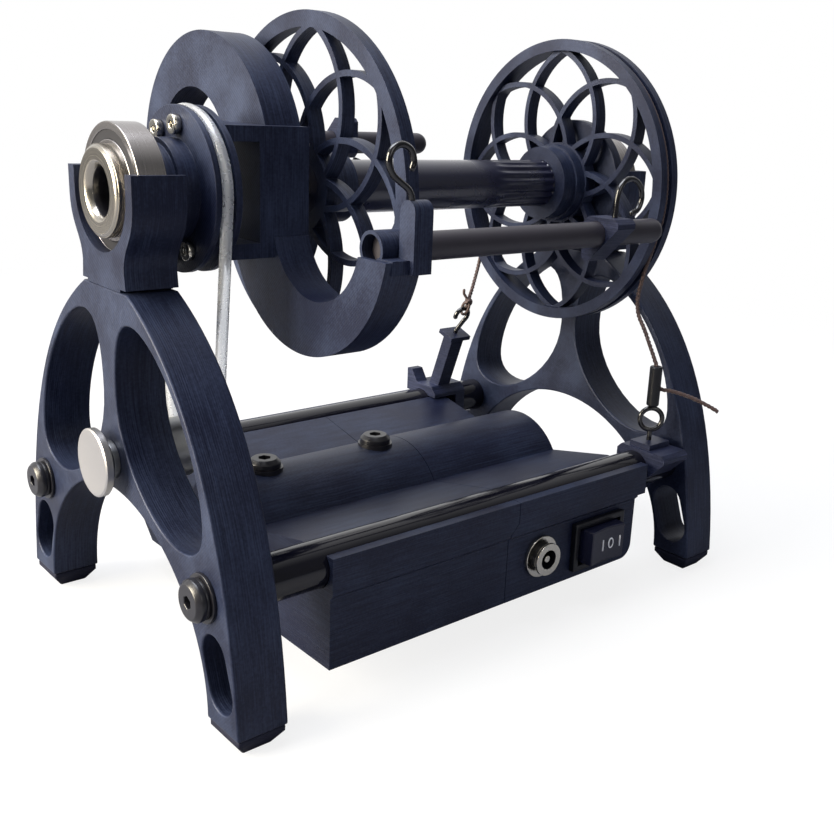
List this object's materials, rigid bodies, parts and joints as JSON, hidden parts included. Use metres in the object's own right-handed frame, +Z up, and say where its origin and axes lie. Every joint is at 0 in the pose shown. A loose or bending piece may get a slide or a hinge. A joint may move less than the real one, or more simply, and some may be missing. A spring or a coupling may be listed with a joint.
{
  "type": "electric yarn spinner",
  "caption": "Small motor-driven yarn spinner: A-frames on rails, a belt-driven flyer with hooks, a flanged bobbin with cord brake, and a control box below.",
  "frame": {"origin": "centre of the footprint on the surface the pads stand on", "axes": "+X along the flyer axis from the orifice to the rear, +Z up, the switch faces -Y"},
  "size_m": [0.19, 0.1242, 0.1672],
  "materials": {
    "printed_navy": "layered 3-D print, matte navy black",
    "rail_black": "gloss black tube",
    "rod_black": "satin grey black",
    "core_black": "gloss black tube",
    "bearing_steel": "ground and polished steel",
    "orifice_steel": "polished, warm tint",
    "seal_rubber": "smooth dark seal",
    "pad_rubber": "matte rubber",
    "black_steel": "black oxide",
    "washer_black": "black oxide",
    "zinc_steel": "zinc plated",
    "bright_nickel": "nickel plated",
    "knob_aluminium": "satin turned face",
    "clear_belt": "clear polyurethane cord",
    "circuit_board": "solder mask",
    "switch_black": "moulded, slight gloss",
    "hook_wire": "black chrome wire",
    "brown_cord": "waxed twine"
  },
  "bodies": {
    "stand": {"left_frame": "printed_navy", "right_frame": "printed_navy", "left_cradle": "printed_navy", "right_cradle": "printed_navy", "cradle_screws": "black_steel", "bearing_outer_rings": "bearing_steel", "bearing_balls": "bearing_steel", "bearing_seals": "seal_rubber", "front_rail": "rail_black", "back_rail": "rail_black", "rail_bolts": "black_steel", "rail_washers": "washer_black", "foot_pads": "pad_rubber", "motor_housing": "printed_navy", "control_housing": "printed_navy", "motor_cover": "printed_navy", "control_cover": "printed_navy", "cover_screws": "black_steel", "ridge_screws": "black_steel", "ridge_washers": "washer_black", "motor_sleeve": "printed_navy", "motor": "zinc_steel", "drive_belt": "clear_belt", "controller_board": "circuit_board", "power_socket": "bright_nickel", "socket_nut": "bright_nickel", "switch_body": "switch_black", "speed_control": "zinc_steel", "brake_post": "printed_navy", "brake_post_hook": "hook_wire", "brake_clamp": "printed_navy", "brake_ring": "hook_wire", "brake_cord": "brown_cord", "cord_sleeve": "switch_black", "cord_tail": "brown_cord"},
    "flyer": {"bearing_inner_rings": "bearing_steel", "orifice_tube": "orifice_steel", "whorl_front": "printed_navy", "whorl_rear": "printed_navy", "whorl_screw_set": "bright_nickel", "flyer_body": "printed_navy", "front_flyer_rod": "rod_black", "back_flyer_rod": "rod_black", "front_lug_hook": "hook_wire", "back_lug_hook": "hook_wire", "flyer_shaft": "bearing_steel", "rear_hub": "printed_navy"},
    "motor_rotor": {"motor_shaft": "bearing_steel", "motor_pulley": "printed_navy"},
    "rocker": {"rocker": "switch_black"},
    "speed_knob": {"knob_shaft": "bright_nickel", "speed_knob": "knob_aluminium"},
    "bobbin": {"front_flange": "printed_navy", "rear_flange": "printed_navy", "bobbin_core": "core_black"},
    "front_slider": {"front_slider": "printed_navy", "front_slider_hook": "hook_wire"},
    "back_slider": {"back_slider": "printed_navy", "back_slider_hook": "hook_wire"}
  },
  "joints": [
    {"name": "flyer_spin", "type": "hinge", "parent": "stand", "child": "flyer", "pos_m": [0, 0, 0.1223], "axis": [1, 0, 0], "continuous": true},
    {"name": "bobbin_spin", "type": "hinge", "parent": "flyer", "child": "bobbin", "pos_m": [0, 0, 0.1223], "axis": [1, 0, 0], "continuous": true},
    {"name": "motor_spin", "type": "hinge", "parent": "stand", "child": "motor_rotor", "pos_m": [-0.05965, 0, 0.0243], "axis": [1, 0, 0], "continuous": true},
    {"name": "front_hook_slide", "type": "slide", "parent": "flyer", "child": "front_slider", "axis": [1, 0, 0], "range_m": [-0.056, 0.01]},
    {"name": "back_hook_slide", "type": "slide", "parent": "flyer", "child": "back_slider", "axis": [1, 0, 0], "range_m": [-0.036, 0.026]},
    {"name": "speed_turn", "type": "hinge", "parent": "stand", "child": "speed_knob", "pos_m": [-0.08965, 0, 0.0558], "axis": [-1, 0, 0], "range_deg": [-150, 150]},
    {"name": "switch_rock", "type": "hinge", "parent": "stand", "child": "rocker", "pos_m": [0.03835, -0.0512, 0.0202], "axis": [0, 0, 1], "range_deg": [-7, 7]}
  ],
  "couplings": [
    {"joint": "motor_spin", "follows": "flyer_spin", "ratio": 2.4}
  ]
}
